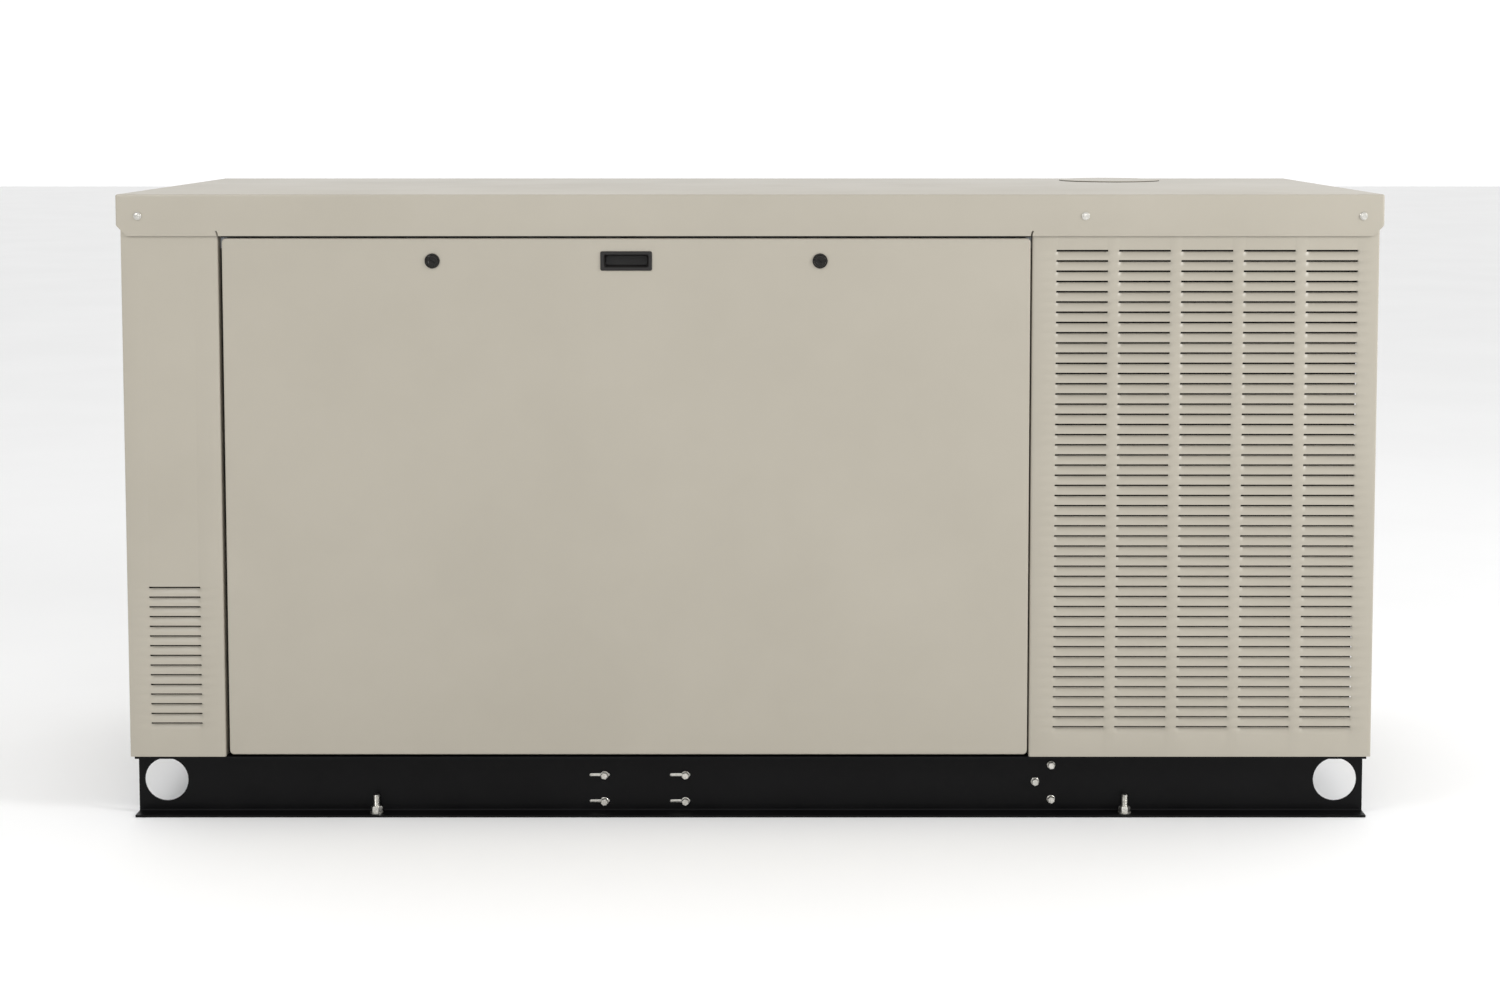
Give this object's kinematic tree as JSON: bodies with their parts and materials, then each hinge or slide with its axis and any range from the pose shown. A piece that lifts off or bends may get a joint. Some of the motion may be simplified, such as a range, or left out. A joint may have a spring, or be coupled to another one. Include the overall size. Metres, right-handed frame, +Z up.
{
  "type": "home standby generator",
  "caption": "Liquid-cooled standby generator in a long louvred steel enclosure on a black steel base, with tilt-out doors.",
  "frame": {"origin": "centre of the base, on the ground under the rails", "axes": "+X along the enclosure towards the radiator end, -Y out of the front door, +Z up"},
  "size_m": [2.28, 0.834, 1.145],
  "materials": {
    "enclosure_paint": "khaki powder coat, satin",
    "base_paint": "black powder coat, satin",
    "galvanised_sheet": "galvanised sheet",
    "engine_paint": "dark grey enamel",
    "cast_metal": "cast, as machined",
    "cast_iron": "heat stained casting",
    "steel": "turned steel",
    "lock_finish": "black nickel",
    "black_plastic": "moulded, lightly grained",
    "rubber": "matt",
    "red_key": "gloss",
    "green_key": "gloss",
    "coolant_tank": "translucent moulded"
  },
  "bodies": {
    "root": {"base_rail_front": "base_paint", "base_rail_rear": "base_paint", "end_channel_left": "base_paint", "end_channel_right": "base_paint", "alternator_crossmember": "base_paint", "engine_crossmember": "base_paint", "front_crossmember": "base_paint", "radiator_crossmember": "base_paint", "floor_pan": "galvanised_sheet", "front_header": "galvanised_sheet", "rear_header": "galvanised_sheet", "radiator_bulkhead": "galvanised_sheet", "muffler": "galvanised_sheet", "alternator_end_wrap": "enclosure_paint", "radiator_end_wrap": "enclosure_paint", "roof_panel": "enclosure_paint", "valve_cover": "black_plastic", "air_cleaner": "black_plastic", "battery": "black_plastic", "circuit_breaker": "black_plastic", "coolant_tank": "coolant_tank", "engine_block": "engine_paint", "alternator_housing": "engine_paint", "radiator": "engine_paint", "fan_shroud": "engine_paint", "oil_pan": "engine_paint", "starter_motor": "engine_paint", "control_box": "engine_paint", "cylinder_head": "cast_metal", "water_pump": "cast_metal", "intake_manifold": "cast_metal", "charging_alternator": "cast_metal", "gas_regulator": "cast_metal", "exhaust_manifold": "cast_iron", "exhaust_pipe": "cast_iron", "flywheel_housing": "cast_iron", "upper_hose": "rubber", "lower_hose": "rubber", "drive_belt": "rubber"},
    "front_door": {"front_door": "enclosure_paint", "front_pull": "black_plastic"},
    "front_lock_left": {"front_lock_left": "lock_finish"},
    "front_lock_right": {"front_lock_right": "lock_finish"},
    "rear_door": {"rear_door": "enclosure_paint", "rear_pull": "black_plastic"},
    "rear_lock_left": {"rear_lock_left": "lock_finish"},
    "rear_lock_right": {"rear_lock_right": "lock_finish"},
    "fill_cover": {"fill_cover": "enclosure_paint"},
    "coolant_cap": {"coolant_cap": "steel"},
    "crank": {"crankshaft": "steel", "crank_pulley": "steel", "alternator_rotor": "steel"},
    "fan": {"cooling_fan": "black_plastic"},
    "charger_rotor": {"charging_pulley": "steel"},
    "dipstick": {"dipstick": "steel"},
    "oil_cap": {"oil_filler_cap": "black_plastic"},
    "breaker_toggle": {"breaker_toggle": "red_key"},
    "auto_button": {"auto_button": "green_key"},
    "off_button": {"off_button": "red_key"},
    "manual_button": {"manual_button": "black_plastic"}
  },
  "joints": [
    {"name": "front_door_tilt", "type": "hinge", "parent": "root", "child": "front_door", "pos_m": [-0.223, -0.413, 0.116], "axis": [1, 0, 0], "range_deg": [0, 35]},
    {"name": "front_lock_left_turn", "type": "hinge", "parent": "front_door", "child": "front_lock_left", "pos_m": [-0.572, -0.413, 1.02], "axis": [0, -1, 0], "range_deg": [0, 90]},
    {"name": "front_lock_right_turn", "type": "hinge", "parent": "front_door", "child": "front_lock_right", "pos_m": [0.126, -0.413, 1.02], "axis": [0, -1, 0], "range_deg": [0, 90]},
    {"name": "rear_door_tilt", "type": "hinge", "parent": "root", "child": "rear_door", "pos_m": [-0.223, 0.413, 0.116], "axis": [-1, 0, 0], "range_deg": [0, 35]},
    {"name": "rear_lock_left_turn", "type": "hinge", "parent": "rear_door", "child": "rear_lock_left", "pos_m": [-0.572, 0.413, 1.02], "axis": [0, -1, 0], "range_deg": [0, 90]},
    {"name": "rear_lock_right_turn", "type": "hinge", "parent": "rear_door", "child": "rear_lock_right", "pos_m": [0.126, 0.413, 1.02], "axis": [0, -1, 0], "range_deg": [0, 90]},
    {"name": "fill_cover_lift", "type": "slide", "parent": "root", "child": "fill_cover", "axis": [0, 0, 1], "range_m": [0, 0.1]},
    {"name": "coolant_cap_turn", "type": "hinge", "parent": "root", "child": "coolant_cap", "pos_m": [0.744, 0.285, 1.043], "axis": [0, 0, 1], "range_deg": [0, 90]},
    {"name": "crank_spin", "type": "hinge", "parent": "root", "child": "crank", "pos_m": [-0.1997, 0, 0.38], "axis": [1, 0, 0], "continuous": true},
    {"name": "fan_spin", "type": "hinge", "parent": "root", "child": "fan", "pos_m": [0.3823, 0, 0.56], "axis": [1, 0, 0], "continuous": true},
    {"name": "charger_spin", "type": "hinge", "parent": "root", "child": "charger_rotor", "pos_m": [0.3823, -0.19, 0.5], "axis": [1, 0, 0], "continuous": true},
    {"name": "dipstick_pull", "type": "slide", "parent": "root", "child": "dipstick", "axis": [0, 0, 1], "range_m": [0, 0.14]},
    {"name": "oil_cap_turn", "type": "hinge", "parent": "root", "child": "oil_cap", "pos_m": [0.2203, 0, 0.75], "axis": [0, 0, 1], "range_deg": [0, 120]},
    {"name": "breaker_throw", "type": "hinge", "parent": "root", "child": "breaker_toggle", "pos_m": [-0.513, -0.288, 0.84], "axis": [1, 0, 0], "range_deg": [0, 60]},
    {"name": "auto_press", "type": "slide", "parent": "root", "child": "auto_button", "axis": [0, 1, 0], "range_m": [0, 0.003], "stiffness_N_per_m": 200},
    {"name": "off_press", "type": "slide", "parent": "root", "child": "off_button", "axis": [0, 1, 0], "range_m": [0, 0.003], "stiffness_N_per_m": 200},
    {"name": "manual_press", "type": "slide", "parent": "root", "child": "manual_button", "axis": [0, 1, 0], "range_m": [0, 0.003], "stiffness_N_per_m": 200}
  ],
  "couplings": [
    {"joint": "fan_spin", "follows": "crank_spin", "ratio": 1.25},
    {"joint": "charger_spin", "follows": "crank_spin", "ratio": 2.2222}
  ]
}
